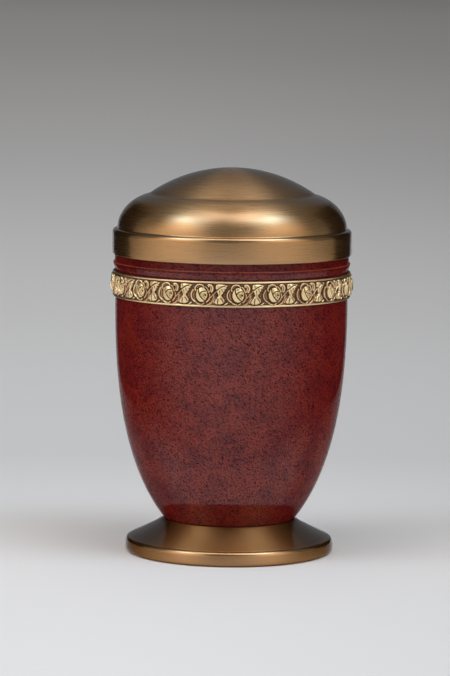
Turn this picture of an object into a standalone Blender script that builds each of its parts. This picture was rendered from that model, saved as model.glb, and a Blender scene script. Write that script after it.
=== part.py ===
# Cremation urn: a spun brass lid, a lacquered vessel with a pressed border of roses and leaves, and a spun brass foot.
# Metres, +Z up. The origin is the middle of the ring that the foot stands on, and the front is towards -Y.

import math

import bmesh
import bpy

MM = 0.001
GAP = 0.3 * MM  # left wherever one piece touches another
WALL = 1.0 * MM  # spun sheet, the same in lid, vessel and foot
FACETS = 36  # round each turned piece

# Foot, from the top down
FOOT_TOP = 29.2 * MM
FOOT_NECK_RADIUS = 58.2 * MM
FOOT_RIM_RADIUS = 91.7 * MM  # where it is widest
FOOT_CONE_RISE = 0.46  # height gained for each unit towards the middle, near the rim
FOOT_NECK_RISE = 0.9  # the same, just under the vessel
FOOT_CORNER_Z = 12.2 * MM  # where cone and rim would meet if the edge were sharp
FOOT_CORNER_BACK = 1.4 * MM  # how far that corner stands back from the widest part
FOOT_EDGE_ROUND = 4.0 * MM
FOOT_WIDEST_Z = 6.0 * MM
FOOT_TURN_ROUND = (2.0 * MM, 3.0 * MM)  # across, and in height
FOOT_RIM_LIFT = 1.0 * MM  # the rim clears the ground, which shows as a dark line under it
FOOT_STAND_OUTER = 86.5 * MM  # the ring under the turned-in lip that it stands on
FOOT_STAND_INNER = 84.0 * MM

# Vessel
VESSEL_BASE_Z = FOOT_TOP + GAP
VESSEL_BASE_RADIUS = 57.2 * MM
VESSEL_BASE_ROUND = 1.0 * MM
VESSEL_FOOT_ANGLE = math.radians(51.9)  # of the wall where it leaves the foot, from level
VESSEL_FOOT_PULL = 78.7 * MM  # how far that direction is held
VESSEL_RADIUS = 101.85 * MM
VESSEL_TOP_Z = 248.0 * MM
VESSEL_TOP_PULL = 47.9 * MM  # how far the wall stays upright below the border
SEAT_Z = 249.4 * MM  # small shoulder that the border is set against
SEAT_HEIGHT = 1.0 * MM
SEAT_RADIUS = 102.4 * MM
NECK_RADIUS = 102.6 * MM
BEAD_TOP_Z = 256.2 * MM  # the bead has a round nose on top and tapers down to the seat
BEAD_RADIUS = 103.9 * MM
BEAD_ROUND = 0.95 * MM
BEAD_TAPER = 17.0  # degrees from upright

# Lid, from the bottom up
LID_RADIUS = 105.0 * MM
LID_BOTTOM_Z = 262.9 * MM
LID_EDGE_ROUND = (0.5 * MM, 4.5 * MM)  # across, and in height
LID_LEDGE_Z = 285.0 * MM
LID_LEDGE_ROUND = (3.0 * MM, 4.2 * MM)
LID_FILLET = 1.0 * MM
SHOULDER_MIDDLE = (62.2 * MM, 284.0 * MM)
SHOULDER_RADII = (38.6 * MM, 32.6 * MM)
CREASE_RADIUS = 72.8 * MM
DOME_TOP_Z = 338.4 * MM
DOME_ROUND = 127.0 * MM
RIM_ROOM = 0.5 * MM  # more than the gap, because the ledge starts to curve down over the rim
RIM_Z = LID_LEDGE_Z - WALL - GAP - RIM_ROOM  # the lid's ledge rests on the vessel's rim

# Border of roses and leaves
BORDER_TOP_Z = 248.2 * MM
BORDER_BOTTOM_Z = 226.0 * MM
BORDER_BACK_RADIUS = 102.3 * MM
BORDER_GROUND_RADIUS = 103.4 * MM  # of the ground that the flowers stand on
BORDER_EDGE_RADIUS = 103.9 * MM
BORDER_EDGE_HEIGHT = 1.8 * MM
BORDER_ROOT = -0.75 * MM  # how deep a flower reaches into the strip
REPEATS = 21
FIRST_ROSE_ANGLE = math.radians(3.05)  # from the front, towards +X

ROSE_WIDTH = 18.4 * MM
ROSE_HEIGHT = 17.4 * MM
ROSE_PETALS = 5
ROSE_DENT = 0.14  # how far the outline falls back between two petals
ROSE_STEPS = ((1.0, 0.7 * MM), (0.7, 0.9 * MM), (0.48, 2.6 * MM), (0.0, 1.9 * MM))

LEAF_LENGTH = 13.0 * MM
LEAF_WIDTH = 7.2 * MM
LEAF_POINTS = 6
LEAF_STEPS = ((1.0, 0.6 * MM), (0.0, 1.7 * MM))
LEAF_OFFSET = 15.6 * MM  # from the middle of the rose, along the border
LEAF_RISE = 4.5 * MM
LEAF_TILTS = (math.radians(38), math.radians(-32))  # upper leaf, lower leaf


def clear_scene():
    for obj in list(bpy.data.objects):
        bpy.data.objects.remove(obj, do_unlink=True)


def new_collection(name):
    collection = bpy.data.collections.new(name)
    bpy.context.scene.collection.children.link(collection)
    return collection


def metal(name, colour, roughness, metallic=1.0, coat=0.0):
    material = bpy.data.materials.new(name)
    material.use_nodes = True
    shader = material.node_tree.nodes["Principled BSDF"]
    shader.inputs["Base Color"].default_value = (*colour, 1.0)
    shader.inputs["Metallic"].default_value = metallic
    shader.inputs["Roughness"].default_value = roughness
    shader.inputs["Coat Weight"].default_value = coat
    return material


def arc(middle, radii, start, end, steps):
    """Points (radius, z) along an ellipse. Angles are in degrees, 0 outwards and 90 up."""
    points = []
    for i in range(steps + 1):
        angle = math.radians(start + (end - start) * i / steps)
        points.append((middle[0] + radii[0] * math.cos(angle), middle[1] + radii[1] * math.sin(angle)))
    return points


def curve(controls, steps):
    """Points along a Bezier curve of any degree."""
    degree = len(controls) - 1
    points = []
    for i in range(steps + 1):
        t = i / steps
        weights = [math.comb(degree, k) * t**k * (1 - t) ** (degree - k) for k in range(degree + 1)]
        points.append(tuple(sum(w * c[axis] for w, c in zip(weights, controls)) for axis in (0, 1)))
    return points


def inset(points, wall):
    """The outline moved inwards by the wall's thickness, for one that runs down the outside."""
    moved = []
    for i, (radius, z) in enumerate(points):
        before = points[max(i - 1, 0)]
        after = points[min(i + 1, len(points) - 1)]
        along = (after[0] - before[0], after[1] - before[1])
        length = math.hypot(*along)
        moved.append((radius + wall * along[1] / length, z - wall * along[0] / length))
    return moved


def turned(name, outline, closed, collection, material):
    """A solid of revolution. The outline runs down its outer side; an open one starts and ends on the axis."""
    mesh = bpy.data.meshes.new(name)
    edges = [(i, i + 1) for i in range(len(outline) - 1)]
    if closed:
        edges.append((len(outline) - 1, 0))
    mesh.from_pydata([(radius, 0.0, z) for radius, z in outline], edges, [])
    mesh.materials.append(material)
    obj = bpy.data.objects.new(name, mesh)
    collection.objects.link(obj)
    screw = obj.modifiers.new("Turn", "SCREW")
    screw.axis = "Z"
    screw.steps = FACETS
    screw.render_steps = FACETS
    screw.use_merge_vertices = True
    screw.merge_threshold = 0.0001
    screw.use_smooth_shade = True
    return obj


def foot_outer(cone_steps, round_steps):
    """Outside of the foot from the middle of its flat top to the ring that it stands on."""
    corner = (FOOT_RIM_RADIUS - FOOT_CORNER_BACK, FOOT_CORNER_Z)
    slope = math.atan(FOOT_CONE_RISE)
    lean = math.atan(2 * FOOT_CORNER_BACK / (FOOT_CORNER_Z - FOOT_WIDEST_Z))
    reach = FOOT_EDGE_ROUND * math.tan((math.pi / 2 - slope - lean) / 2)
    cone_end = (corner[0] - reach * math.cos(slope), corner[1] + reach * math.sin(slope))
    cone_start = (FOOT_NECK_RADIUS, FOOT_TOP)
    fall = cone_start[1] - cone_end[1] - FOOT_CONE_RISE * (cone_end[0] - cone_start[0])
    bend = fall / (FOOT_NECK_RISE - FOOT_CONE_RISE)
    middle = (cone_start[0] + bend, cone_start[1] - FOOT_NECK_RISE * bend)
    cone = curve((cone_start, middle, cone_end), cone_steps)
    edge_middle = (cone_end[0] - FOOT_EDGE_ROUND * math.sin(slope),
                   cone_end[1] - FOOT_EDGE_ROUND * math.cos(slope))
    start, end = 90 - math.degrees(slope), math.degrees(lean)
    edge = arc(edge_middle, (FOOT_EDGE_ROUND,) * 2, start, end, round_steps)
    held = (FOOT_RIM_RADIUS, edge[-1][1] - (FOOT_RIM_RADIUS - edge[-1][0]) / math.tan(lean))
    rim = curve((edge[-1], held, (FOOT_RIM_RADIUS, FOOT_WIDEST_Z)), round_steps)
    turn_middle = (FOOT_RIM_RADIUS - FOOT_TURN_ROUND[0], FOOT_RIM_LIFT + FOOT_TURN_ROUND[1])
    turn = arc(turn_middle, FOOT_TURN_ROUND, 0, -90, round_steps)
    return [(0.0, FOOT_TOP)] + cone + edge[1:] + rim[1:] + turn + [(FOOT_STAND_OUTER, FOOT_RIM_LIFT)]


def foot(collection, material):
    outer = foot_outer(3, 2) + [(FOOT_STAND_OUTER, 0.0), (FOOT_STAND_INNER, 0.0)]
    inner = inset(foot_outer(2, 1), WALL)
    inner[0] = (0.0, FOOT_TOP - WALL)
    inner[-1] = (FOOT_STAND_INNER, FOOT_RIM_LIFT + WALL)
    return turned("foot", outer + inner[::-1], False, collection, material)


def vessel_wall(steps):
    """Outside of the vessel from just behind the border to the edge of its bottom."""
    start = (VESSEL_RADIUS, VESSEL_TOP_Z)
    end = (VESSEL_BASE_RADIUS + VESSEL_BASE_ROUND * math.sin(VESSEL_FOOT_ANGLE),
           VESSEL_BASE_Z + VESSEL_BASE_ROUND * (1 - math.cos(VESSEL_FOOT_ANGLE)))
    upright = (start[0], start[1] - VESSEL_TOP_PULL)
    held = (end[0] + VESSEL_FOOT_PULL * math.cos(VESSEL_FOOT_ANGLE),
            end[1] + VESSEL_FOOT_PULL * math.sin(VESSEL_FOOT_ANGLE))
    return curve((start, upright, held, end), steps) + [(VESSEL_BASE_RADIUS, VESSEL_BASE_Z)]


def vessel_neck(round_steps):
    """Outside of the vessel's neck from the rim to the shoulder above the border."""
    nose_middle = (BEAD_RADIUS - BEAD_ROUND, BEAD_TOP_Z - BEAD_ROUND)
    nose = arc(nose_middle, (BEAD_ROUND,) * 2, 90, -BEAD_TAPER, round_steps)
    seat = [(SEAT_RADIUS, SEAT_Z + SEAT_HEIGHT), (VESSEL_RADIUS, SEAT_Z)]
    return [(NECK_RADIUS, RIM_Z), (NECK_RADIUS, BEAD_TOP_Z)] + nose + seat


def body(collection, material):
    outer = vessel_neck(2) + vessel_wall(10) + [(0.0, VESSEL_BASE_Z)]
    inner = inset(vessel_neck(1) + vessel_wall(5), WALL)
    inner[0] = (NECK_RADIUS - WALL, RIM_Z)
    inner[-2] = (inner[-2][0], VESSEL_BASE_Z + WALL)
    inner[-1] = (0.0, VESSEL_BASE_Z + WALL)
    return turned("body", inner[::-1] + outer, False, collection, material)


def lid_outer(dome_steps, shoulder_steps, round_steps):
    """Outside of the lid from the top of the dome to the lower edge of the skirt."""
    dome_half = math.degrees(math.asin(CREASE_RADIUS / DOME_ROUND))
    dome_middle = (0.0, DOME_TOP_Z - DOME_ROUND)
    dome = arc(dome_middle, (DOME_ROUND,) * 2, 90, 90 - dome_half, dome_steps)
    dome[0] = (0.0, DOME_TOP_Z)
    fillet_top = LID_LEDGE_Z + LID_FILLET
    crease = math.degrees(math.acos((CREASE_RADIUS - SHOULDER_MIDDLE[0]) / SHOULDER_RADII[0]))
    end = math.degrees(math.asin((fillet_top - SHOULDER_MIDDLE[1]) / SHOULDER_RADII[1]))
    shoulder = arc(SHOULDER_MIDDLE, SHOULDER_RADII, crease, end, shoulder_steps)
    fillet_middle = (shoulder[-1][0] + LID_FILLET, fillet_top)
    fillet = arc(fillet_middle, (LID_FILLET,) * 2, 180, 270, round_steps)
    corner_middle = (LID_RADIUS - LID_LEDGE_ROUND[0], LID_LEDGE_Z - LID_LEDGE_ROUND[1])
    corner = arc(corner_middle, LID_LEDGE_ROUND, 90, 0, round_steps)
    edge_middle = (LID_RADIUS - LID_EDGE_ROUND[0], LID_BOTTOM_Z + LID_EDGE_ROUND[1])
    edge = arc(edge_middle, LID_EDGE_ROUND, 0, -90, round_steps)
    return dome + shoulder[1:] + fillet[1:] + corner + edge


def lid(collection, material):
    outer = lid_outer(5, 5, 2)
    inner = inset(lid_outer(3, 3, 2), WALL)
    inner[0] = (0.0, DOME_TOP_Z - WALL)
    inner[-1] = (LID_RADIUS - WALL, LID_BOTTOM_Z)
    return turned("lid", outer + inner[::-1], False, collection, material)


def rose_outline(sides):
    """(along, up) points of a rose's edge: petals round it, with a dent between each two."""
    points = []
    for i in range(sides):
        angle = 2 * math.pi * i / sides
        size = 1 - ROSE_DENT * (1 - math.cos(ROSE_PETALS * angle)) / 2
        points.append((ROSE_WIDTH / 2 * size * math.sin(angle), ROSE_HEIGHT / 2 * size * math.cos(angle)))
    return points


def leaf_outline(tilt):
    """(along, up) points of a pointed leaf that leans up by a tilt."""
    points = []
    for i in range(LEAF_POINTS):
        angle = 2 * math.pi * i / LEAF_POINTS
        along = LEAF_LENGTH / 2 * math.cos(angle)
        across = LEAF_WIDTH / 2 * math.sin(angle) * (1 - 0.25 * math.cos(angle))
        points.append((along * math.cos(tilt) - across * math.sin(tilt),
                       along * math.sin(tilt) + across * math.cos(tilt)))
    return points


def add_relief(shape, angle, rise, outline, steps):
    """One closed flower or leaf, rooted in the strip and wrapped round it.

    Each step is a share of the outline and a height above the ground. The last share is 0, the middle.
    """
    ground = BORDER_GROUND_RADIUS
    middle_z = (BORDER_TOP_Z + BORDER_BOTTOM_Z) / 2 + rise

    def place(along, up, height):
        turn = angle + along / ground
        radius = ground + height
        return shape.verts.new((radius * math.sin(turn), -radius * math.cos(turn), middle_z + up))

    rings = [[place(along, up, BORDER_ROOT) for along, up in outline]]
    for share, height in steps[:-1]:
        rings.append([place(share * along, share * up, height) for along, up in outline])
    root = place(0.0, 0.0, BORDER_ROOT)
    crown = place(0.0, 0.0, steps[-1][1])
    for i in range(len(outline)):
        after = (i + 1) % len(outline)
        shape.faces.new((rings[0][after], rings[0][i], root))
        for low, high in zip(rings, rings[1:]):
            shape.faces.new((low[i], low[after], high[after], high[i]))
        shape.faces.new((rings[-1][i], rings[-1][after], crown))


def border_relief(collection):
    """All roses and leaves as one mesh, joined to the strip later."""
    shape = bmesh.new()
    leaf_turn = LEAF_OFFSET / BORDER_GROUND_RADIUS
    for k in range(REPEATS):
        angle = FIRST_ROSE_ANGLE + 2 * math.pi * k / REPEATS
        add_relief(shape, angle, 0.0, rose_outline(2 * ROSE_PETALS), ROSE_STEPS)
        for side, tilt in zip((1, -1), LEAF_TILTS):
            add_relief(shape, angle - leaf_turn, side * LEAF_RISE, leaf_outline(tilt), LEAF_STEPS)
    bmesh.ops.recalc_face_normals(shape, faces=shape.faces)
    mesh = bpy.data.meshes.new("rose_and_leaf_relief")
    shape.to_mesh(mesh)
    shape.free()
    obj = bpy.data.objects.new("rose_and_leaf_relief", mesh)
    obj.hide_render = True
    obj.display_type = "WIRE"
    collection.objects.link(obj)
    return obj


def rose_band(collection, helpers, material):
    edge = BORDER_EDGE_HEIGHT
    fall = BORDER_EDGE_RADIUS - BORDER_GROUND_RADIUS
    outline = [
        (BORDER_BACK_RADIUS, BORDER_TOP_Z),
        (BORDER_EDGE_RADIUS, BORDER_TOP_Z),
        (BORDER_EDGE_RADIUS, BORDER_TOP_Z - edge),
        (BORDER_GROUND_RADIUS, BORDER_TOP_Z - edge - fall),
        (BORDER_GROUND_RADIUS, BORDER_BOTTOM_Z + edge + fall),
        (BORDER_EDGE_RADIUS, BORDER_BOTTOM_Z + edge),
        (BORDER_EDGE_RADIUS, BORDER_BOTTOM_Z),
        (BORDER_BACK_RADIUS, BORDER_BOTTOM_Z),
    ]
    obj = turned("rose_band", outline, True, collection, material)
    union = obj.modifiers.new("Roses and leaves", "BOOLEAN")
    union.operation = "UNION"
    union.solver = "EXACT"
    union.use_self = True  # leaves tuck under the roses
    union.object = border_relief(helpers)
    return obj


def main():
    clear_scene()
    urn = new_collection("cremation_urn")
    helpers = new_collection("helpers")
    lid(urn, metal("brushed_brass_lid", (0.42, 0.26, 0.12), 0.32))
    body(urn, metal("red_lacquer", (0.16, 0.014, 0.012), 0.35, metallic=0.0, coat=1.0))
    rose_band(urn, helpers, metal("aged_gold_brass", (0.62, 0.46, 0.19), 0.3))
    foot(urn, metal("brushed_brass_foot", (0.42, 0.24, 0.10), 0.32))


main()
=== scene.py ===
import math

import bpy
import numpy as np
from mathutils import Matrix, Vector


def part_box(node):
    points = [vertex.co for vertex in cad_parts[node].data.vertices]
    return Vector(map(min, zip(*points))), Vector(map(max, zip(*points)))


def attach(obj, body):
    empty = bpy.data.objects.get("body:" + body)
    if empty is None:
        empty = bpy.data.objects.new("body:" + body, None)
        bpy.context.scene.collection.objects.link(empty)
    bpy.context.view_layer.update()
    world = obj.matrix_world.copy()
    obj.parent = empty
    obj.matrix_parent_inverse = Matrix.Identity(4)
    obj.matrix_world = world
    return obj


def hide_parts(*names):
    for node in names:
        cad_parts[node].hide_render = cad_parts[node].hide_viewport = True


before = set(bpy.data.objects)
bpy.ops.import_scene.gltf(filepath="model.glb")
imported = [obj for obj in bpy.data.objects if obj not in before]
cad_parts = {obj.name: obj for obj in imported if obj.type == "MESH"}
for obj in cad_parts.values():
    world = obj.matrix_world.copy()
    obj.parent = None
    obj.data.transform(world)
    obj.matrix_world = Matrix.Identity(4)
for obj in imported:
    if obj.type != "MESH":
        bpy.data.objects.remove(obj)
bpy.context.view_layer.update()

mm = 0.001
turn = 2 * math.pi


# Shader maths

class Wire:
    # one output of a node, so that sums on it add the nodes they need
    def __init__(self, tree, socket=None):
        self.tree = tree
        self.socket = socket

    def node(self, kind, settings=None, inputs=None, output=0):
        made = self.tree.nodes.new("ShaderNode" + kind)
        for name, value in (settings or {}).items():
            if name == "stops":
                setStops(made.color_ramp, value)
            else:
                setattr(made, name, value)
        for name, value in (inputs or {}).items():
            self.plug(made.inputs[name], value)
        return Wire(self.tree, made.outputs[output])

    def plug(self, socket, value):
        if isinstance(value, Wire):
            self.tree.links.new(value.socket, socket)
        elif isinstance(value, tuple) and len(value) == 3 and socket.type == "RGBA":
            socket.default_value = (*value, 1.0)
        else:
            socket.default_value = value

    def maths(self, operation, first, second=0.0):
        return self.node("Math", {"operation": operation}, {0: first, 1: second})

    def __add__(self, other):
        return self.maths("ADD", self, other)

    def __radd__(self, other):
        return self.maths("ADD", other, self)

    def __sub__(self, other):
        return self.maths("SUBTRACT", self, other)

    def __rsub__(self, other):
        return self.maths("SUBTRACT", other, self)

    def __mul__(self, other):
        return self.maths("MULTIPLY", self, other)

    def __rmul__(self, other):
        return self.maths("MULTIPLY", other, self)

    def __truediv__(self, other):
        return self.maths("DIVIDE", self, other)

    def __rtruediv__(self, other):
        return self.maths("DIVIDE", other, self)

    def rise(self, low, high, start=0.0, end=1.0):
        # soft step from start to end while the value goes from low to high
        ends = {"Value": self, "From Min": low, "From Max": high, "To Min": start, "To Max": end}
        return self.node("MapRange", {"interpolation_type": "SMOOTHSTEP"}, ends)

    def mix(self, first, second):
        # colours, the value of this wire says how much of the second
        # 6, 7 and 2 are the node's sockets for colours, which share their names with those for numbers
        return self.node("Mix", {"data_type": "RGBA"}, {"Factor": self, 6: first, 7: second}, 2)

    def noise(self, place, scale, detail=2.0, roughness=0.5, distortion=0.0):
        ends = {"Vector": place, "Scale": scale, "Detail": detail, "Roughness": roughness}
        ends["Distortion"] = distortion
        return self.node("TexNoise", None, ends)

    def vector(self, x, y, z):
        return self.node("CombineXYZ", None, {"X": x, "Y": y, "Z": z})

    def split(self):
        # x, y and z of a vector
        parts = self.node("SeparateXYZ", None, {0: self}).socket.node.outputs
        return [Wire(self.tree, part) for part in parts]

    def times(self, factor):
        # a colour or vector by one number, or by one for each of its parts
        if isinstance(factor, tuple):
            return self.node("VectorMath", {"operation": "MULTIPLY"}, {0: self, 1: factor})
        return self.node("VectorMath", {"operation": "SCALE"}, {0: self, "Scale": factor})


def setStops(ramp, stops):
    while len(ramp.elements) < len(stops):
        ramp.elements.new(0.5)
    for element, (place, colour) in zip(ramp.elements, stops):
        element.position = place
        element.color = (*colour, 1.0)


def newMaterial(name):
    material = bpy.data.materials.new(name)
    material.use_nodes = True
    shader = material.node_tree.nodes["Principled BSDF"]
    return material, shader, Wire(material.node_tree)


def finishShader(wire, shader, plain, varied):
    # plain values are set on the shader's own sockets, varied ones are linked
    for name, value in {**plain, **varied}.items():
        wire.plug(shader.inputs[name], value)


def objectPlace(wire):
    return wire.node("TexCoord", output="Object")


def greyStops(stops):
    return [(stop, (share,) * 3) for stop, share in stops]


def roundFacing(wire):
    # facing is 0 where the surface faces the eye round the axis and 1 at the outline
    # tilt is 1 where it lies flat and looks up, 0 where it is upright and -1 where it looks down
    facing = wire.node("LayerWeight", None, {"Blend": 0.5}, "Facing")
    x, y, tilt = wire.node("TexCoord", output="Normal").split()
    level = wire.maths("MAXIMUM", wire.maths("SQRT", x * x + y * y), 0.1)
    return wire.maths("MAXIMUM", 1 - (1 - facing) / level, 0.0), tilt


# Turned shapes

turnedLook = {
    "segments": 256,
    "wall": 1.0 * mm,  # spun sheet, the same in lid, foot and vessel
    "sharpAngle": 40,  # in degrees, an edge that turns further stays sharp
}


def arcPoints(middle, radii, start, end, steps):
    # angles in degrees, 0 outwards and 90 up
    angles = np.radians(np.linspace(start, end, steps + 1))
    return [(middle[0] + radii[0] * math.cos(a), middle[1] + radii[1] * math.sin(a)) for a in angles]


def bezierPoints(controls, steps):
    degree = len(controls) - 1
    points = []
    for t in np.linspace(0, 1, steps + 1):
        weights = [math.comb(degree, k) * t**k * (1 - t) ** (degree - k) for k in range(degree + 1)]
        points.append(tuple(sum(w * c[axis] for w, c in zip(weights, controls)) for axis in (0, 1)))
    return points


def insetPoints(points, wall):
    # the outline moved inwards, for one that runs down the outside
    moved = []
    for i, (radius, z) in enumerate(points):
        before = points[max(i - 1, 0)]
        after = points[min(i + 1, len(points) - 1)]
        along = (after[0] - before[0], after[1] - before[1])
        length = math.hypot(*along)
        moved.append((radius + wall * along[1] / length, z - wall * along[0] / length))
    return moved


def turnedPiece(name, outline, look):
    # outline runs down the outside and back up inside, from the axis to the axis
    ringPoints = outline[1:-1]
    segments = look["segments"]
    angles = np.arange(segments) * turn / segments
    radii = np.array([p[0] for p in ringPoints])[:, None]
    heights = np.array([p[1] for p in ringPoints])[:, None]
    x = radii * np.cos(angles)
    y = radii * np.sin(angles)
    z = heights + 0 * x
    points = np.stack([x, y, z], axis=-1).reshape(-1, 3)
    count = len(ringPoints)
    start, end = len(points), len(points) + 1
    points = np.vstack([points, [(0, 0, outline[0][1]), (0, 0, outline[-1][1])]])
    faces = []
    for i in range(count - 1):
        for j in range(segments):
            after = (j + 1) % segments
            faces.append((i * segments + j, (i + 1) * segments + j,
                          (i + 1) * segments + after, i * segments + after))
    last = (count - 1) * segments
    for j in range(segments):
        after = (j + 1) % segments
        faces.append((start, j, after))
        faces.append((last + j, end, last + after))
    return newPiece(name, points, faces, look["sharpAngle"])


def newPiece(name, points, faces, sharpAngle):
    mesh = bpy.data.meshes.new(name)
    mesh.from_pydata([tuple(p) for p in points], [], faces)
    mesh.shade_smooth()
    mesh.set_sharp_from_angle(angle=math.radians(sharpAngle))
    piece = bpy.data.objects.new(name, mesh)
    bpy.context.scene.collection.objects.link(piece)
    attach(piece, "root")
    return piece


# Lid

lidLook = {
    **turnedLook,
    "outerSteps": (40, 40, 8),  # of dome, shoulder and each small rounding
    "innerSteps": (12, 12, 3),
    "edgeRound": (0.5 * mm, 4.5 * mm),  # lower edge of the skirt, across and in height
    "ledgeHeight": 22.1 * mm,  # step above the skirt
    "ledgeRound": (3.0 * mm, 4.2 * mm),
    "fillet": 1.0 * mm,
    "shoulderMiddle": (62.2 * mm, 284.0 * mm),
    "shoulderRadii": (38.6 * mm, 32.6 * mm),
    "creaseRadius": 72.8 * mm,  # where dome and shoulder meet
    "domeRound": 127.0 * mm,  # radius of the dome's curve
}


def lidOutline(look, box, domeSteps, shoulderSteps, roundSteps):
    low, high = box
    radius = high.x
    ledge = low.z + look["ledgeHeight"]
    middle, radii = look["shoulderMiddle"], look["shoulderRadii"]
    domeHalf = math.degrees(math.asin(look["creaseRadius"] / look["domeRound"]))
    domeMiddle = (0.0, high.z - look["domeRound"])
    dome = arcPoints(domeMiddle, (look["domeRound"],) * 2, 90, 90 - domeHalf, domeSteps)
    filletTop = ledge + look["fillet"]
    crease = math.degrees(math.acos((look["creaseRadius"] - middle[0]) / radii[0]))
    end = math.degrees(math.asin((filletTop - middle[1]) / radii[1]))
    shoulder = arcPoints(middle, radii, crease, end, shoulderSteps)
    filletMiddle = (shoulder[-1][0] + look["fillet"], filletTop)
    fillet = arcPoints(filletMiddle, (look["fillet"],) * 2, 180, 270, roundSteps)
    cornerMiddle = (radius - look["ledgeRound"][0], ledge - look["ledgeRound"][1])
    corner = arcPoints(cornerMiddle, look["ledgeRound"], 90, 0, roundSteps)
    edgeMiddle = (radius - look["edgeRound"][0], low.z + look["edgeRound"][1])
    edge = arcPoints(edgeMiddle, look["edgeRound"], 0, -90, roundSteps)
    return dome + shoulder[1:] + fillet[1:] + corner + edge


def makeLid(look):
    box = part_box("lid")
    outer = lidOutline(look, box, *look["outerSteps"])
    inner = insetPoints(lidOutline(look, box, *look["innerSteps"]), look["wall"])
    inner[0] = (0.0, box[1].z - look["wall"])
    inner[-1] = (box[1].x - look["wall"], box[0].z)
    lid = turnedPiece("urn_lid", outer + inner[::-1], look)
    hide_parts("lid")
    return lid


# Foot

footLook = {
    **turnedLook,
    "outerSteps": (24, 8),  # of the cone and each small rounding
    "innerSteps": (8, 3),
    "neckRadius": 58.2 * mm,  # upper end of the cone
    "coneRise": 0.46,  # height gained for each unit towards the middle, near the rim
    "neckRise": 0.9,  # the same, under the vessel
    "cornerHeight": 12.2 * mm,  # where cone and rim would meet if the edge were sharp
    "cornerBack": 1.4 * mm,
    "edgeRound": 4.0 * mm,
    "widestHeight": 6.0 * mm,
    "turnRound": (2.0 * mm, 3.0 * mm),  # lower edge, across and in height
    "rimLift": 1.0 * mm,  # the rim clears the ground
    "standRadii": (86.5 * mm, 84.0 * mm),  # ring that the urn stands on
}


def footOutline(look, high, coneSteps, roundSteps):
    corner = (high.x - look["cornerBack"], look["cornerHeight"])
    slope = math.atan(look["coneRise"])
    lean = math.atan(2 * look["cornerBack"] / (look["cornerHeight"] - look["widestHeight"]))
    rounding = look["edgeRound"]
    reach = rounding * math.tan((math.pi / 2 - slope - lean) / 2)
    coneEnd = (corner[0] - reach * math.cos(slope), corner[1] + reach * math.sin(slope))
    coneStart = (look["neckRadius"], high.z)
    fall = coneStart[1] - coneEnd[1] - look["coneRise"] * (coneEnd[0] - coneStart[0])
    bend = fall / (look["neckRise"] - look["coneRise"])
    middle = (coneStart[0] + bend, coneStart[1] - look["neckRise"] * bend)
    cone = bezierPoints((coneStart, middle, coneEnd), coneSteps)
    edgeMiddle = (coneEnd[0] - rounding * math.sin(slope), coneEnd[1] - rounding * math.cos(slope))
    edge = arcPoints(edgeMiddle, (rounding,) * 2, 90 - math.degrees(slope), math.degrees(lean), roundSteps)
    held = (high.x, edge[-1][1] - (high.x - edge[-1][0]) / math.tan(lean))
    rim = bezierPoints((edge[-1], held, (high.x, look["widestHeight"])), roundSteps)
    turnMiddle = (high.x - look["turnRound"][0], look["rimLift"] + look["turnRound"][1])
    lip = arcPoints(turnMiddle, look["turnRound"], 0, -90, roundSteps)
    return [(0.0, high.z)] + cone + edge[1:] + rim[1:] + lip + [(look["standRadii"][0], look["rimLift"])]


def makeFoot(look):
    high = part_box("foot")[1]
    outer = footOutline(look, high, *look["outerSteps"])
    inner = insetPoints(footOutline(look, high, *look["innerSteps"]), look["wall"])
    inner[0] = (0.0, high.z - look["wall"])
    inner[-1] = (look["standRadii"][1], look["rimLift"] + look["wall"])
    ring = [(radius, 0.0) for radius in look["standRadii"]]
    foot = turnedPiece("urn_foot", outer + ring + inner[::-1], look)
    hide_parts("foot")
    return foot


# Vessel

vesselLook = {
    **turnedLook,
    "outerSteps": (10, 90),  # of the bead and the wall
    "innerSteps": (2, 30),
    "radius": 101.85 * mm,
    "wallTop": 248.0 * mm,
    "topPull": 47.9 * mm,  # upper handle of the wall's curve, straight down
    "baseRadius": 57.2 * mm,
    "baseRound": 1.0 * mm,
    "footAngle": math.radians(51.9),  # of the wall where it leaves the foot, from level
    "footPull": 78.7 * mm,  # lower handle of the wall's curve, at that angle
    "seatHeight": 249.4 * mm,  # small shoulder above the border
    "seatRise": 1.0 * mm,
    "seatRadius": 102.4 * mm,
    "neckRadius": 102.6 * mm,
    "beadTop": 256.2 * mm,  # round nose on top, then a taper down to the seat
    "beadRadius": 103.9 * mm,
    "beadRound": 0.95 * mm,
    "beadTaper": 17.0,  # degrees from upright
}


def vesselOutline(look, box, roundSteps, wallSteps):
    low, high = box
    noseMiddle = (look["beadRadius"] - look["beadRound"], look["beadTop"] - look["beadRound"])
    nose = arcPoints(noseMiddle, (look["beadRound"],) * 2, 90, -look["beadTaper"], roundSteps)
    outline = [(look["neckRadius"], high.z), (look["neckRadius"], look["beadTop"])] + nose
    outline.append((look["seatRadius"], look["seatHeight"] + look["seatRise"]))
    outline.append((look["radius"], look["seatHeight"]))
    start = (look["radius"], look["wallTop"])
    angle, corner = look["footAngle"], look["baseRound"]
    end = (look["baseRadius"] + corner * math.sin(angle), low.z + corner * (1 - math.cos(angle)))
    upright = (start[0], start[1] - look["topPull"])
    held = (end[0] + look["footPull"] * math.cos(angle), end[1] + look["footPull"] * math.sin(angle))
    wall = bezierPoints((start, upright, held, end), wallSteps)
    return outline + wall + [(look["baseRadius"], low.z)]


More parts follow.
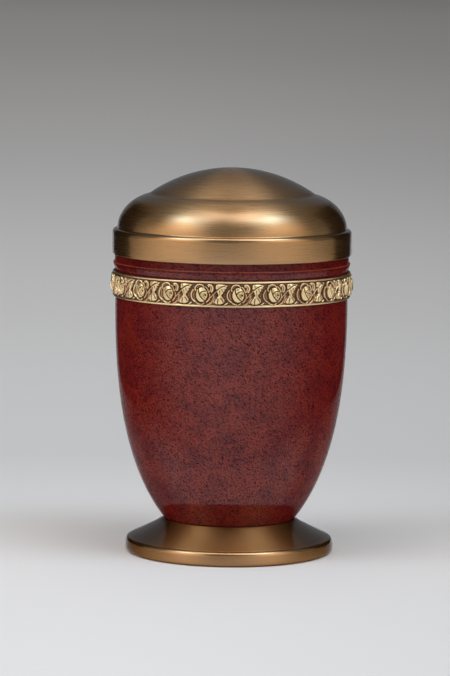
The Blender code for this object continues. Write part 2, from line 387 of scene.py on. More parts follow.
def makeVessel(look):
    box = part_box("body")
    outer = vesselOutline(look, box, *look["outerSteps"])
    inner = insetPoints(vesselOutline(look, box, *look["innerSteps"]), look["wall"])
    inner[0] = (look["neckRadius"] - look["wall"], box[1].z)
    inner[-1] = (inner[-1][0], box[0].z + look["wall"])
    outline = [(0.0, box[0].z + look["wall"])] + inner[::-1] + outer + [(0.0, box[0].z)]
    body = turnedPiece("urn_body", outline, look)
    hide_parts("body")
    return body


# Border of roses and leaves

# lengths of the drawing in millimetres, u to the right of the bloom's middle, v up from the band's middle
roseDrawing = {
    # rim, height at the rim, height at the foot of the slope, reach, side of the bloom, run-out, lip
    "petals": [
        ([(3.0, -9.3), (5.0, -8.6), (7.2, -7.2), (8.8, -5.2), (9.6, -2.9), (9.5, -0.8), (8.6, 1.4)],
         0.75, 0.35, 2.6, -1, 0.12, 0.7),
        ([(4.2, 6.7), (4.9, 7.9), (6.4, 8.6), (8.2, 8.3), (9.5, 7.0), (10.0, 5.2), (9.5, 3.0), (8.0, 0.6)],
         1.45, 0.5, 2.6, -1, 0.12, 0.9),
        ([(4.9, 5.6), (5.6, 6.9), (6.8, 7.1), (7.7, 6.3), (8.0, 4.9), (7.6, 3.2), (6.4, 1.2)],
         1.2, 0.5, 1.5, -1, 0.10, 0.4),
        ([(-7.3, 4.6), (-9.1, 1.7), (-9.6, -0.8), (-9.1, -3.3), (-7.75, -5.4), (-5.0, -7.2)],
         1.45, 0.4, 1.7, 1, 0.07, 0.6),
        ([(-6.6, 3.6), (-7.3, 1.7), (-7.6, -0.8), (-7.0, -3.2), (-5.6, -5.4)],
         0.75, 0.35, 1.6, 1, 0.12, 0.4),
        ([(-5.3, 2.2), (-6.1, 3.9), (-6.1, 5.2), (-5.4, 6.8), (-4.1, 8.1), (-2.0, 8.7), (-0.2, 8.4)],
         1.6, 0.5, 1.7, -1, 0.06, 0.7),
        ([(-4.5, 4.5), (-3.9, 6.1), (-2.6, 7.1), (-0.8, 7.3), (0.8, 6.6)],
         0.95, 0.45, 1.3, -1, 0.12, 0.4),
        ([(-1.6, 8.3), (-0.1, 8.45), (1.0, 7.8), (2.0, 6.6), (2.6, 5.2)],
         1.6, 0.5, 1.5, -1, 0.10, 0.6),
        ([(2.2, 6.2), (3.1, 6.6), (4.4, 5.8), (5.3, 4.5), (5.9, 2.9), (6.4, 1.2)],
         1.45, 0.5, 1.5, -1, 0.10, 0.6),
        ([(5.2, 3.0), (6.5, 1.1), (7.2, -0.8), (7.2, -2.6), (6.4, -4.6), (5.0, -6.2), (3.0, -7.6)],
         0.80, 0.3, 1.8, -1, 0.15, 0.5),
        ([(-6.4, -5.6), (-5.6, -6.8), (-4.4, -7.9), (-2.6, -8.8), (-0.2, -9.1)],
         0.95, 0.35, 1.4, 1, 0.12, 0.5),
        ([(-0.5, -9.0), (0.8, -8.8), (1.7, -8.1), (2.6, -6.9)],
         1.4, 0.5, 1.0, 1, 0.15, 0.6),
    ],
    # curve, half width, height, run-out
    "stems": [
        ([(7.0, -3.3), (9.5, -0.4), (12.1, 2.2), (13.2, 3.6)], 0.45, 1.0, 0.08),
        ([(9.0, -4.0), (10.8, -2.0), (12.2, -1.4)], 0.55, 0.65, 0.2),
        ([(8.8, 0.6), (9.9, -1.4), (10.2, -3.6), (9.6, -5.4)], 0.9, 0.5, 0.2),
    ],
    "leaf": [(11.5, 6.6), (12.0, 8.3), (13.8, 9.1), (15.5, 9.3), (18.2, 9.0), (20.8, 8.5), (22.6, 7.4),
             (21.3, 6.0), (21.6, 5.0), (20.0, 4.1), (20.2, 3.0), (18.8, 2.0), (18.9, 1.0), (17.7, 0.1),
             (17.4, -1.0), (18.2, -2.5), (19.5, -4.0), (19.8, -5.9), (18.6, -7.6), (17.0, -8.5), (15.2, -8.9),
             (13.8, -8.5), (12.2, -8.9), (11.2, -7.9), (9.9, -8.1), (9.0, -6.8), (9.5, -5.0), (10.9, -3.3),
             (12.6, -2.0), (13.7, -1.0), (13.5, 0.3), (12.8, 2.0), (12.0, 4.0), (11.4, 5.2)],
    # height, how far in it is reached, what is added in the middle, and how far in that is reached
    "leafHeights": (1.15, 0.7, 0.7, 2.2),
    # curve, half width, depth, run-out
    "veins": [
        ([(12.2, 3.4), (13.2, 3.9), (15.2, 5.4), (17.6, 6.8), (20.8, 7.5)], 0.42, 0.95, 0.08),
        ([(14.6, 5.3), (14.0, 7.0), (13.8, 8.4)], 0.35, 0.45, 0.2),
        ([(14.7, 4.3), (15.3, 2.6), (15.5, 0.6), (15.4, -1.2)], 0.40, 0.50, 0.2),
        ([(16.6, 5.6), (17.4, 4.1), (17.5, 2.4)], 0.35, 0.45, 0.2),
        ([(13.6, -2.4), (11.9, -3.9), (10.6, -6.2), (10.3, -7.8)], 0.40, 0.85, 0.12),
        ([(14.3, -3.0), (13.8, -5.4), (13.7, -8.0)], 0.40, 0.70, 0.12),
        ([(15.6, -2.6), (17.0, -3.8), (18.6, -6.6)], 0.42, 0.80, 0.12),
    ],
    "veinsFrom": 0.3,  # they are cut only where the leaf is higher than this
    "smallLeaf": [(18.6, -9.1), (20.2, -9.1), (21.6, -8.3), (22.9, -6.6), (21.2, -6.8), (19.9, -7.6)],
    "smallLeafHeights": (1.1, 0.45, 0.0, 1.0),
    "petalSide": (-0.45, 0.05),  # where a petal rises across its rim, from outside to inside
    "petalSpare": 1.5,  # how far a petal runs on level behind its slope
    "bloomMiddle": (0.0, -0.35),
    "bloomHalf": (5.3, 6.75),
    "bloomReach": 5.7,  # from its middle to its edge, as depth
    "bloomHeights": (1.75, 0.75, 0.55, 3.5),  # as for the leaf
    "moundStart": -0.05,  # leaves and bloom begin this far outside their outlines
    # curve, half width, depth of the groove (a ridge where it is below nothing), run-out
    "folds": [
        ([(-2.8, 5.7), (-2.6, 4.0), (-2.4, 2.4), (-1.5, -0.3), (-0.2, -2.6), (1.9, -4.7), (3.5, -5.8)],
         0.38, 0.80, 0.08),
        ([(-3.5, 4.8), (-3.3, 2.3), (-2.3, -0.8), (-0.9, -3.2), (1.2, -5.4)], 0.50, -0.25, 0.15),
        ([(-4.4, 1.8), (-4.3, -1.4), (-3.2, -4.4), (-1.0, -6.3)], 0.35, 0.16, 0.15),
        ([(-1.4, -0.7), (-1.1, 0.4), (-0.3, 1.6), (1.1, 2.5), (2.9, 2.7), (4.3, 2.0)], 0.35, 0.65, 0.10),
        ([(-1.9, 1.3), (-0.7, 2.6), (1.0, 3.4), (2.8, 3.6)], 0.50, -0.20, 0.15),
        ([(3.1, 1.6), (2.2, 0.7), (1.9, -0.6), (2.2, -2.1), (3.2, -3.2)], 0.32, 0.50, 0.12),
        ([(2.6, 1.3), (3.8, 1.1), (4.5, 0.0), (4.4, -1.5), (3.6, -2.5)], 0.28, 0.35, 0.12),
        ([(0.2, -3.3), (0.7, -1.6), (0.6, 0.2), (1.3, 1.7)], 0.35, 0.30, 0.15),
        ([(2.4, -4.0), (3.5, -3.7), (4.4, -2.8)], 0.28, 0.40, 0.20),
    ],
    "foldDepth": 1.5,  # all folds cut deeper by this factor
    "pit": (3.25, -0.5),
    "pitReach": (0.4, 1.15),
    "pitDepth": 1.7,
}

borderLook = {
    "repeats": 21,
    "firstAngle": math.radians(3.05),
    "leadPart": 3,  # the grid starts a third of a repeat left of the first bloom
    "columns": 144,  # of the grid, in one repeat
    "rows": 88,
    "triangles": 188000,
    "back": 102.3,  # radii in millimetres
    "ground": 103.3,
    "edgeMiddle": 10.15,  # plain edges, from the band's middle
    "edgeHalf": 0.95,
    "edgeHeight": 0.95,
    "relief": 1.3,  # all flowers and leaves stand out further by this factor
    "groundWaves": 0.18,
    "wavesAlong": (8, 3),
    "wavesAcross": (1.5, 1.8),
    "waveBend": 1.3,
    # polish is a base, more where a place stands out from what is within reach, and more where it is high
    "polishReach": 0.8,
    "polishBase": 0.35,
    "polishProud": 1.7,
    "polishHigh": 0.27,
    "polishLevel": 0.5,
    "sharpAngle": 75,
    "grainScale": 900.0,
    "cloudScale": 160.0,
    "roughnessFrom": 0.1,
    "roughnessTo": 0.9,
    "roughnessGrain": 0.1,
    "gold": (1.0, 0.815, 0.465),
    "brown": [(0.0, (0.105, 0.052, 0.028)), (0.35, (0.29, 0.145, 0.073)), (0.65, (0.80, 0.455, 0.205))],
    "edgeTint": (0.22, 0.19, 0.17),
    "goldRoughness": 0.31,
    "brownRoughness": 0.46,
    "coat": 0.5,
    "coatRoughness": 0.2,
    "wear": 0.25,
}


def softStep(x, low, high):
    share = np.clip((x - low) / (high - low), 0, 1)
    return share * share * (3 - 2 * share)


def smoothCurve(points, steps=6, closed=False):
    # a curve through all the points
    p = np.array(points, float)
    if closed:
        p = np.vstack([p[-1], p, p[0], p[1]])
    else:
        p = np.vstack([2 * p[0] - p[1], p, 2 * p[-1] - p[-2]])
    curve = []
    for i in range(1, len(p) - 2):
        for t in np.arange(steps) / steps:
            slope = (p[i + 1] - p[i - 1]) * t
            bend = (2 * p[i - 1] - 5 * p[i] + 4 * p[i + 1] - p[i + 2]) * t**2
            twist = (3 * p[i] - p[i - 1] - 3 * p[i + 1] + p[i + 2]) * t**3
            curve.append(p[i] + (slope + bend + twist) / 2)
    if not closed:
        curve.append(p[-2])
    return np.array(curve)


def alongCurve(u, v, curve):
    # distance from the curve, left of it above nothing, and the share of its length there
    nearest = np.full(u.shape, np.inf)
    signed = np.zeros(u.shape)
    share = np.zeros(u.shape)
    lengths = np.hypot(*(curve[1:] - curve[:-1]).T)
    gone = 0.0
    for start, end, length in zip(curve[:-1], curve[1:], lengths):
        du, dv = (end - start) / length
        along = np.clip((u - start[0]) * du + (v - start[1]) * dv, 0, length)
        offU = u - start[0] - along * du
        offV = v - start[1] - along * dv
        distance = np.hypot(offU, offV)
        closer = distance < nearest
        nearest = np.where(closer, distance, nearest)
        signed = np.where(closer, np.where(du * offV - dv * offU >= 0, distance, -distance), signed)
        share = np.where(closer, (gone + along) / lengths.sum(), share)
        gone += length
    return signed, share


def insideDepth(u, v, outline):
    # depth inside a closed outline, below nothing outside it
    curve = smoothCurve(outline, steps=5, closed=True)
    ring = np.vstack([curve, curve[:1]])
    distance = np.abs(alongCurve(u, v, ring)[0])
    inside = np.zeros(u.shape, bool)
    for start, end in zip(ring[:-1], ring[1:]):
        rise = end[1] - start[1]
        if rise:
            crosses = (start[1] > v) != (end[1] > v)
            inside ^= crosses & (u < (end[0] - start[0]) * (v - start[1]) / rise + start[0])
    return np.where(inside, distance, -distance)


def ridgeHeight(u, v, points, half, height, runOut):
    # a rounded ridge along a curve, running out at both ends
    signed, share = alongCurve(u, v, smoothCurve(points))
    ends = softStep(share, 0, runOut) * softStep(1 - share, 0, runOut)
    return height * ends * np.exp(-(signed / half) ** 2)


def petalHeight(u, v, drawing, rim, high, low, reach, side, runOut, lip):
    # steep outside the rim, a rounded lip, then a slope down towards the bloom
    signed, share = alongCurve(u, v, smoothCurve(rim))
    within = signed * side
    ends = softStep(share, 0, runOut) * softStep(1 - share, 0, runOut)
    slope = 1 - softStep(within, lip * 0.5, reach)
    rise = softStep(within, *drawing["petalSide"])
    return ends * rise * (low + (high - low) * slope) * (within < reach + drawing["petalSpare"])


def moundHeight(depth, drawing, heights):
    # flat on top with a rounded edge, and a little higher in its middle
    top, edge, crown, crownReach = heights
    return top * softStep(depth, drawing["moundStart"], edge) + crown * softStep(depth, 0, crownReach)


def leafHeight(u, v, drawing, name):
    return moundHeight(insideDepth(u, v, drawing[name]), drawing, drawing[name + "Heights"])


def bloomHeight(u, v, drawing):
    middle, half = drawing["bloomMiddle"], drawing["bloomHalf"]
    depth = (1 - np.hypot((u - middle[0]) / half[0], (v - middle[1]) / half[1])) * drawing["bloomReach"]
    height = moundHeight(depth, drawing, drawing["bloomHeights"])
    for points, width, fold, runOut in drawing["folds"]:
        height = height - ridgeHeight(u, v, points, width, fold * drawing["foldDepth"], runOut)
    pit = np.hypot(u - drawing["pit"][0], v - drawing["pit"][1])
    height = height - drawing["pitDepth"] * (1 - softStep(pit, *drawing["pitReach"]))
    return np.where(depth > drawing["moundStart"], height, 0)


def roseHeight(u, v, drawing):
    parts = [petalHeight(u, v, drawing, *petal) for petal in drawing["petals"]]
    parts += [ridgeHeight(u, v, *stem) for stem in drawing["stems"]]
    leaf = leafHeight(u, v, drawing, "leaf")
    cuts = sum(ridgeHeight(u, v, *vein) for vein in drawing["veins"])
    parts.append(leaf - cuts * (leaf > drawing["veinsFrom"]))
    parts.append(leafHeight(u, v, drawing, "smallLeaf"))
    parts.append(bloomHeight(u, v, drawing))
    return np.maximum.reduce(parts)


def blurred(height, reach, stepU, stepV):
    waveU = np.fft.fftfreq(height.shape[1], stepU)[None]
    waveV = np.fft.fftfreq(height.shape[0], stepV)[:, None]
    keep = np.exp(-2 * (math.pi * reach) ** 2 * (waveU**2 + waveV**2))
    return np.fft.ifft2(np.fft.fft2(height) * keep).real


def borderRelief(look, drawing, half):
    # heights and polish of one repeat, rows from the lower edge to the upper one
    repeat = turn * look["ground"] / look["repeats"]
    u, v = np.meshgrid(np.arange(look["columns"]) / look["columns"] * repeat - repeat / look["leadPart"],
                       np.linspace(-half, half, look["rows"]))
    flowers = np.maximum.reduce([roseHeight(u + shift, v, drawing) for shift in (-repeat, 0, repeat)])
    phase = turn * u / repeat
    along, across = look["wavesAlong"], look["wavesAcross"]
    waves = np.sin(along[0] * phase + look["waveBend"] * np.sin(v * across[0]))
    waves = waves * np.cos(v * across[1] + np.sin(along[1] * phase))
    ground = look["groundWaves"] * (1 + waves)
    edge = np.sqrt(1 - np.minimum(((np.abs(v) - look["edgeMiddle"]) / look["edgeHalf"]) ** 2, 1))
    plain = np.maximum(ground, look["edgeHeight"] * edge)
    height = np.maximum(flowers, plain)
    stepU, stepV = repeat / look["columns"], 2 * half / (look["rows"] - 1)
    proud = height - blurred(height, look["polishReach"], stepU, stepV)
    high = look["polishHigh"] * (height - look["polishLevel"])
    polish = np.clip(look["polishBase"] + look["polishProud"] * proud + high, 0, 1)
    return np.maximum(flowers * look["relief"], plain), np.maximum(polish, edge)


def makeBorder(look, drawing):
    low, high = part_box("rose_band")
    middle, half = (low.z + high.z) / 2, (high.z - low.z) / 2
    height, polish = borderRelief(look, drawing, half / mm)
    radii = (look["ground"] + np.tile(height, look["repeats"])) * mm
    count = radii.shape[1]
    back = np.full((1, count), look["back"] * mm)
    radii = np.vstack([radii, back, back])
    levels = np.append(np.linspace(-half, half, look["rows"]), (half, -half)) + middle
    lead = 1 / look["leadPart"] / look["repeats"]
    angles = look["firstAngle"] + turn * (np.arange(count) / count - lead)
    heights = np.tile(levels[:, None], count)
    points = np.stack([radii * np.sin(angles), -radii * np.cos(angles), heights], axis=-1)
    row, column = np.meshgrid(np.arange(len(levels)), np.arange(count), indexing="ij")
    above, right = (row + 1) % len(levels), (column + 1) % count
    start, over = row * count, above * count
    faces = np.stack([start + column, start + right, over + right, over + column], axis=-1)
    faces = faces.reshape(-1, 4)
    border = newPiece("urn_rose_band", points.reshape(-1, 3), faces.tolist(), look["sharpAngle"])
    thin = border.modifiers.new("thin", "DECIMATE")
    thin.ratio = look["triangles"] / (2 * len(faces))
    applyModifier(border)
    keepPolish(border.data, polish, look, middle, half)
    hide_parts("rose_band")
    return border


def applyModifier(piece):
    graph = bpy.context.evaluated_depsgraph_get()
    mesh = bpy.data.meshes.new_from_object(piece.evaluated_get(graph))
    piece.modifiers.clear()
    piece.data = mesh


def keepPolish(mesh, polish, look, middle, half):
    # the polish at each point, read between the points of the grid
    place = np.zeros(len(mesh.vertices) * 3)
    mesh.vertices.foreach_get("co", place)
    x, y, z = place.reshape(-1, 3).T
    angle = np.arctan2(x, -y) - look["firstAngle"] + turn / look["leadPart"] / look["repeats"]
    column = angle / turn * look["repeats"] % 1 * look["columns"]
    row = np.clip((z - middle + half) / (2 * half), 0, 1) * (look["rows"] - 1)
    left, below = np.floor(column).astype(int), np.minimum(np.floor(row).astype(int), look["rows"] - 2)
    acrossShare, upShare = column - left, row - below
    left = left % look["columns"]
    right = (left + 1) % look["columns"]
    lower = polish[below, left] * (1 - acrossShare) + polish[below, right] * acrossShare
    upper = polish[below + 1, left] * (1 - acrossShare) + polish[below + 1, right] * acrossShare
    kept = mesh.attributes.new("polish", "FLOAT", "POINT")
    kept.data.foreach_set("value", lower * (1 - upShare) + upper * upShare)


def agedGold(name, look):
    material, shader, wire = newMaterial(name)
    place = objectPlace(wire)
    polish = wire.node("Attribute", {"attribute_name": "polish"}, output="Fac")
    grain = wire.noise(place, look["grainScale"], 3.0, 0.6)
    cloud = wire.noise(place, look["cloudScale"], 3.0, 0.55)
    worn = polish + (grain + cloud - 1) * look["wear"]
    stops = look["brown"] + [(1.0, look["gold"])]
    colour = wire.node("ValToRGB", {"stops": stops}, {0: worn})
    ends = (look["roughnessFrom"], look["roughnessTo"], look["brownRoughness"], look["goldRoughness"])
    rough = worn.rise(*ends) + (grain - 0.5) * look["roughnessGrain"]
    plain = {"Metallic": 1.0, "Specular Tint": look["edgeTint"], "Coat Weight": look["coat"],
             "Coat Roughness": look["coatRoughness"]}
    finishShader(wire, shader, plain, {"Base Color": colour, "Roughness": rough})
    return material


# Brushed brass of lid and foot

brassLook = {
    "edgeTint": (0.30, 0.28, 0.28),  # how much is left of the reflection near the outline
    "brushTurn": 0.25,  # of a whole turn, which stretches the highlights across the brushing
    "scratchFrom": 0.46,
    "scratchTo": 0.54,
    "coatRoughness": 0.12,
    "upside": (0.74, 0.88),  # full gloss where the sheet lies flat
    # share of the gloss that is seen, from a straight view (0) to a grazing one (1)
    "gloss": [(0.0, 1.0), (0.14, 0.66), (0.22, 0.36), (0.30, 0.16), (0.44, 0.03), (0.58, 0.08), (0.70, 0.45),
              (0.80, 0.90), (1.0, 1.0)],
    "lineWidth": 0.22 * mm,
    "lineDepth": 0.012 * mm,
    "lineStrength": 0.5,
    "lineTurns": 3,  # the higher, the shorter the brushed lines
    "streakTurns": 1.5,
    "streakWidth": 7,  # in lines
    "cloudScale": 28.0,
    "lineTone": 0.5,  # shares of lines, streaks and clouds in the colour
    "streakTone": 0.3,
    "cloudTone": 0.3,
    "tone": (0.35, 0.75),
    "edgeFade": (0.5, 1.0),
}

lidBrass = {
    "colour": (0.522, 0.298, 0.130),
    "darkColour": (0.484, 0.274, 0.118),
    "roughness": 0.26,
    "scratchRoughness": 0.34,  # of the coarser scratches
    "anisotropy": 0.80,
    "edgeHeight": 283.2 * mm,  # the edge is worn smooth
    "edgeReach": 3.2 * mm,
    "edgeRoughness": 0.21,
    "toneAbove": (1.06, 1.06, 1.06),  # colour a little lighter on the cap, above the edge
    "toneAboveFrom": 280.5 * mm,
    "toneAboveTo": 284.0 * mm,
}

footBrass = {
    "colour": (0.525, 0.275, 0.108),
    "darkColour": (0.484, 0.250, 0.097),
    "roughness": 0.42,
    "scratchRoughness": 0.50,
    "anisotropy": 0.97,
    "edgeHeight": 11.5 * mm,
    "edgeReach": 2.2 * mm,
    "edgeRoughness": 0.19,
    "toneAbove": (0.76, 0.69, 0.63),  # painted shade on the cone, darker than the rim
    "toneAboveFrom": 12.6 * mm,
    "toneAboveTo": 14.5 * mm,
}


def brushedBrass(name, look):
    material, shader, wire = newMaterial(name)
    place = objectPlace(wire)
    x, y, z = place.split()
    radius = wire.maths("SQRT", x * x + y * y)
    along = (radius - z) / look["lineWidth"]
    turns, wide = look["lineTurns"], look["streakTurns"]
    fine = wire.noise(wire.vector(x / radius * turns, y / radius * turns, along), 1.0, 3.0, 0.6)
    streaks = wire.noise(wire.vector(x / radius * wide, y / radius * wide, along / look["streakWidth"]), 1.0)
    cloud = wire.noise(place, look["cloudScale"], 3.0)
    tone = fine * look["lineTone"] + streaks * look["streakTone"] + cloud * look["cloudTone"]
    colour = tone.rise(*look["tone"]).mix(look["darkColour"], look["colour"])
    # painted shade on the foot's cone, and a lighter tone on the lid's cap
    colour = z.rise(look["toneAboveFrom"], look["toneAboveTo"]).mix(colour, colour.times(look["toneAbove"]))
    rough = fine.rise(look["scratchFrom"], look["scratchTo"], look["roughness"], look["scratchRoughness"])
    aside = wire.maths("ABSOLUTE", (z - look["edgeHeight"]) / look["edgeReach"])
    worn = aside.rise(*look["edgeFade"], 1.0, 0.0)
    rough = rough * (1 - worn) + worn * look["edgeRoughness"]
    lines = {"Height": fine, "Strength": look["lineStrength"], "Distance": look["lineDepth"]}
    bump = wire.node("Bump", None, lines)
    plain = {"Metallic": 1.0, "Anisotropic": look["anisotropy"], "Anisotropic Rotation": look["brushTurn"],
             "Specular Tint": look["edgeTint"], "Coat Roughness": look["coatRoughness"]}
    facing, tilt = roundFacing(wire)
    gloss = wire.node("ValToRGB", {"stops": greyStops(look["gloss"])}, {0: facing})
    gloss = wire.maths("MAXIMUM", gloss, tilt.rise(*look["upside"]))
    varied = {"Base Color": colour, "Roughness": rough, "Coat Weight": gloss, "Normal": bump}
    finishShader(wire, shader, plain, varied)
    return material


# Red lacquer of the vessel

lacquerLook = {
    "warmRed": (0.205, 0.0172, 0.0108),
    "coolRed": (0.155, 0.0108, 0.0108),
    "darkGrain": 0.18,
    "fleck": (0.012, 0.006, 0.012),
    "fleckTwist": 9.5,  # radians for each metre of height
    "fleckScale": 720.0,
    "fleckLength": (1.0, 1.0, 0.62),  # flecks are longer where it is below 1
    "fleckCurl": 1.8,
    "fleckFrom": 0.60,
    "fleckTo": 0.67,
    "fleckMatt": 0.95,
    "grainScale": 1080.0,
    "grainFrom": 0.36,
    "grainTo": 0.48,
    "grainMatt": 0.9,
    "cloudFlecks": 0.07,
    "cloudScale": 42.0,
    "patchScale": 2.7,  # of the smaller patches, in clouds
    "cloudShare": 0.7,
    "patchShare": 0.3,
    "warmth": (0.40, 0.60),
    "beadMiddle": 256.0 * mm,  # painted highlight, a bright red line along the nose of the bead
    "beadHalf": 0.55 * mm,
    "beadFade": (0.4, 1.0),
    "paintedHighlightShare": 0.8,
    "paintedHighlightRed": (0.46, 0.088, 0.042),
    "roughness": 0.6,  # of the colour under the coat
    "coatRoughness": 0.06,
    "coatIor": 1.6,
    "underside": (-0.32, -0.08),  # more gloss where the wall turns down towards the foot
    "undersideFrom": 0.22,
    "undersideTo": 0.46,
    "undersideLoss": 0.6,
    "neckFrom": 252.8 * mm,  # neck and bead under the lid are duller, and darker by a painted shade from the lid
    "neckTo": 254.2 * mm,
    "neckGloss": 0.5,
    "neckPaintedShade": 0.74,
    # share of the gloss that is seen, from a straight view (0) to a grazing one (1)
    "gloss": [(0.0, 1.0), (0.14, 0.66), (0.22, 0.36), (0.30, 0.16), (0.44, 0.03), (0.58, 0.10), (0.75, 0.35),
              (0.86, 0.50), (1.0, 0.7)],
}


def redLacquer(name, look):
    material, shader, wire = newMaterial(name)
    place = objectPlace(wire)
    z = place.split()[2]
    twist = {"Vector": place, "Angle": z * look["fleckTwist"]}
    stretched = wire.node("VectorRotate", {"rotation_type": "Z_AXIS"}, twist).times(look["fleckLength"])
    fleck = wire.noise(stretched, look["fleckScale"], 1.0, 0.5, look["fleckCurl"])
    grain = wire.noise(stretched, look["grainScale"], 1.0, 0.6)
    cloud = wire.noise(place, look["cloudScale"], 3.0, 0.55)
    patch = wire.noise(place, look["cloudScale"] * look["patchScale"])
    warm = (cloud * look["cloudShare"] + patch * look["patchShare"]).rise(*look["warmth"])
    colour = warm.mix(look["coolRed"], look["warmRed"])
    light = grain.rise(look["grainFrom"], look["grainTo"])
    colour = light.mix(colour.times(look["darkGrain"]), colour)
    # painted highlight: a bright red line along the nose of the bead
    aside = wire.maths("ABSOLUTE", (z - look["beadMiddle"]) / look["beadHalf"])
    colour = aside.rise(*look["beadFade"], look["paintedHighlightShare"], 0.0).mix(colour, look["paintedHighlightRed"])
    spots = (fleck + (0.5 - cloud) * look["cloudFlecks"]).rise(look["fleckFrom"], look["fleckTo"])
    colour = spots.mix(colour, look["fleck"])
    facing, tilt = roundFacing(wire)
    gloss = wire.node("ValToRGB", {"stops": greyStops(look["gloss"])}, {0: facing})
    under = tilt.rise(*look["underside"], 1.0, 0.0)
    under = under * facing.rise(look["undersideFrom"], look["undersideTo"], 1.0, 1 - look["undersideLoss"])
    # painted shade under the lid: the colour is darker there, and the gloss lower
    neck = z.rise(look["neckFrom"], look["neckTo"])
    gloss = wire.maths("MAXIMUM", gloss, under) * (1 - neck * (1 - look["neckGloss"]))
    colour = neck.mix(colour, colour.times(look["neckPaintedShade"]))
    plain = {"Metallic": 0.0, "Roughness": look["roughness"], "Specular IOR Level": 0.0,
             "Coat Roughness": look["coatRoughness"], "Coat IOR": look["coatIor"]}
    shiny = (1 - spots * look["fleckMatt"]) * (1 - (1 - light) * look["grainMatt"])
    finishShader(wire, shader, plain, {"Base Color": colour, "Coat Weight": gloss * shiny})
    return material


# Camera, as in the photograph

cameraLook = {
    "distance": 3.006,  # from the urn's axis, in metres
    "height": 0.5334,
    "side": -0.0053,
    "pitch": 6.55,  # down, in degrees
    "roll": 0.6,
    "lens": 183.2,  # in millimetres, as is the sensor's width
    "sensor": 36.0,
    "reach": 100.0,  # how far it sees, in metres
}


def makeCamera(look):
    data = bpy.data.cameras.new("camera")
    data.lens = look["lens"]
    data.sensor_width = look["sensor"]
    data.clip_end = look["reach"]
    camera = bpy.data.objects.new("camera", data)
    bpy.context.scene.collection.objects.link(camera)
    aim = Matrix.Rotation(math.radians(90 - look["pitch"]), 4, "X")
    roll = Matrix.Rotation(math.radians(look["roll"]), 4, "Z")
    place = Matrix.Translation((look["side"], -look["distance"], look["height"]))
    camera.matrix_world = place @ aim @ roll
    bpy.context.scene.camera = camera


# Studio

studioLook = {
    "floorReach": 40.0,
    "world": (0.16, 0.17, 0.18),
    "boxDistance": 5.0,
    "boxHeight": 0.2,
    "power": 16.0,  # watts for each square metre of a lamp's given size, at a glow of 1
    "tints": {"warm": (1.1, 0.9, 0.7), "plain": (1.0, 1.0, 1.0), "cool": (0.7, 1.0, 1.3)},
    # name, azimuth from the front, elevation, width and height in degrees, glow, tint
    "boxes": [
        ("low_left", -60, 10, 60, 20, 0.7, "warm"),
        ("low_right", 45, 10, 60, 20, 0.6, "warm"),
        ("middle_left", -55, 30, 35, 20, 1.2, "warm"),
        ("middle_right", 55, 30, 35, 20, 1.0, "warm"),
        ("wide_left", -60, 50, 30, 20, 1.8, "cool"),
        ("wide_right", 55, 55, 30, 20, 2.2, "cool"),
        ("core_left", -67, 50, 15, 12, 2.0, "cool"),
        ("core_right", 62, 57, 15, 12, 2.4, "cool"),
        ("upper_left", -45, 62, 25, 12, 1.2, "plain"),
        ("upper_right", 25, 62, 25, 12, 1.6, "plain"),
        ("top_left", -60, 76, 30, 14, 1.2, "plain"),
        ("top_front", 0, 76, 30, 14, 0.8, "plain"),
        ("top_right", 60, 76, 30, 14, 1.5, "plain"),
        ("back", 180, 65, 30, 20, 0.3, "warm"),
    ],
    # the wash lights the paper far behind the urn, the flags are dark sheets that only reflections show
    "wash": {"size": 30.0, "place": (0, 20, 8), "glow": 0.10},
    "flags": {"out": 0.5, "start": 0.14, "end": 1.0, "height": 0.75, "colour": (0.07, 0.06, 0.06)},
    "paperTint": (1.12, 1.04, 0.98),
    "paperStart": 0.7,  # the shades begin this far in front of the urn, in metres
    "paperDecades": (-1.0, 1.5),  # logarithm of the distance from there, at both ends of the shades
    # share of those decades, and the paper's colour there, a painted shade in bands that stand in for the
    # fall of light over the floor
    "paper": [(0.35, 0.82), (0.44, 0.66), (0.57, 0.73), (0.65, 0.83), (0.76, 0.97), (0.81, 0.95),
              (0.88, 0.83), (0.98, 0.73)],
    "paperRoughness": 0.9,
    # painted shade to the right of the urn, beside it and far behind it, spreading from a point in front of
    # it
    "paperSideStart": 3.2,
    "paperSideLeast": 0.5,
    "paperSide": (-0.05, 0.10),
    "paperSideShade": (0.92, 0.85),
    "paperSideFar": (-0.4, 6.0),
}


def paperMaterial(look):
    material, shader, wire = newMaterial("paper_floor")
    x, y = objectPlace(wire).split()[:2]
    low, high = look["paperDecades"]
    far = wire.maths("LOGARITHM", wire.maths("MAXIMUM", y + look["paperStart"], 10 ** low), 10.0)
    stops = [(stop, tuple(shade * tint for tint in look["paperTint"])) for stop, shade in look["paper"]]
    # painted shade: the paper darker and lighter in bands with the distance, standing in for the fall of
    # light
    shade = wire.node("ValToRGB", {"stops": stops}, {0: (far - low) / (high - low)})
    # painted shade, darker to the right of the urn
    side = x / wire.maths("MAXIMUM", y + look["paperSideStart"], look["paperSideLeast"])
    side = side.rise(*look["paperSide"])
    depth = y.rise(*look["paperSideFar"], *look["paperSideShade"])
    tone = shade.times(1 - side * (1 - depth))
    plain = {"Roughness": look["paperRoughness"], "Specular IOR Level": 0.0}
    finishShader(wire, shader, plain, {"Base Color": tone})
    return material


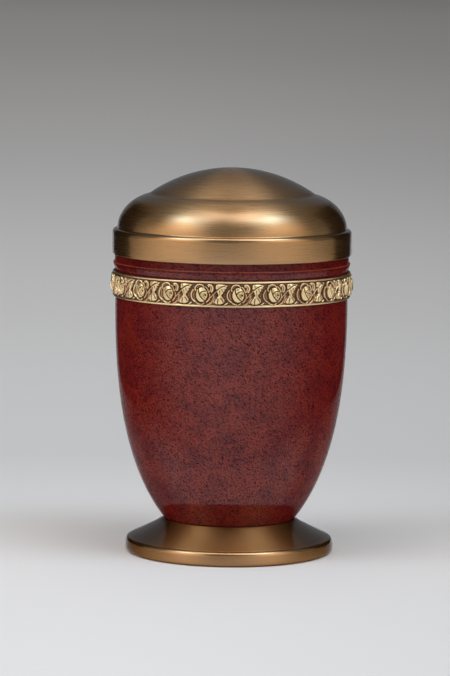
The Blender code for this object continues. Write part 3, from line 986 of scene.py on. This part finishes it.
def makeLamp(look, name, size, glow, tint):
    # brightest in its middle, half as bright at the edges of the given size, and nothing at twice that
    light = bpy.data.lights.new(name, "AREA")
    light.shape = "RECTANGLE"
    light.size, light.size_y = 2 * size[0], 2 * size[1]
    light.energy = look["power"] * size[0] * size[1] * glow
    light.color = look["tints"][tint]
    light.use_nodes = True
    wire = Wire(light.node_tree)
    across, up = wire.node("NewGeometry", output="Parametric").split()[:2]  # 0 to 1 over the lamp
    fade = wire.maths("SINE", across * math.pi) * wire.maths("SINE", up * math.pi)
    wire.plug(light.node_tree.nodes["Emission"].inputs["Strength"], fade * fade)
    lamp = bpy.data.objects.new(name, light)
    bpy.context.scene.collection.objects.link(lamp)
    lamp.visible_camera = False
    return lamp


def makeSheet(name, points, material):
    mesh = bpy.data.meshes.new(name)
    mesh.from_pydata(points, [], [(0, 1, 2, 3)])
    mesh.materials.append(material)
    sheet = bpy.data.objects.new(name, mesh)
    bpy.context.scene.collection.objects.link(sheet)
    return sheet


def makeStudio(look):
    reach = look["floorReach"]
    corners = [(-reach, -reach, 0), (reach, -reach, 0), (reach, reach, 0), (-reach, reach, 0)]
    makeSheet("floor", corners, paperMaterial(look))
    for name, azimuth, elevation, width, height, glow, tint in look["boxes"]:
        size = [2 * look["boxDistance"] * math.tan(math.radians(angle / 2)) for angle in (width, height)]
        lamp = makeLamp(look, name, size, glow, tint)
        around, up = math.radians(azimuth), math.radians(elevation)
        away = Vector((math.sin(around) * math.cos(up), -math.cos(around) * math.cos(up), math.sin(up)))
        lamp.location = away * look["boxDistance"] + Vector((0, 0, look["boxHeight"]))
        lamp.rotation_mode = "QUATERNION"
        lamp.rotation_quaternion = away.to_track_quat("Z", "Y")
    washLook = look["wash"]
    wash = makeLamp(look, "wash", (washLook["size"],) * 2, washLook["glow"], "plain")
    wash.location = washLook["place"]
    wash.visible_glossy = False
    flags = look["flags"]
    material, shader, wire = newMaterial("dark_flag")
    plain = {"Base Color": flags["colour"], "Roughness": 1.0, "Specular IOR Level": 0.0}
    finishShader(wire, shader, plain, {})
    for side, x in (("left", -flags["out"]), ("right", flags["out"])):
        corners = [(x, flags["start"], 0), (x, flags["end"], 0),
                   (x, flags["end"], flags["height"]), (x, flags["start"], flags["height"])]
        flag = makeSheet("flag_" + side, corners, material)
        flag.visible_camera = False
        flag.visible_diffuse = False
        flag.visible_shadow = False
    world = bpy.data.worlds.new("studio")
    world.use_nodes = True
    world.node_tree.nodes["Background"].inputs["Color"].default_value = (*look["world"], 1.0)
    bpy.context.scene.world = world


def dress(piece, material):
    piece.data.materials.append(material)
    print(piece.name, "with", len(piece.data.polygons), "faces in", material.name)


makeCamera(cameraLook)
print("camera placed")
dress(makeLid(lidLook), brushedBrass("brushed_brass_lid", {**brassLook, **lidBrass}))
dress(makeFoot(footLook), brushedBrass("brushed_brass_foot", {**brassLook, **footBrass}))
dress(makeVessel(vesselLook), redLacquer("red_lacquer", lacquerLook))
dress(makeBorder(borderLook, roseDrawing), agedGold("aged_gold_border", borderLook))
makeStudio(studioLook)
print("studio lit by", len(studioLook["boxes"]), "lamps and a wash")
bpy.context.scene.view_settings.view_transform = "Standard"
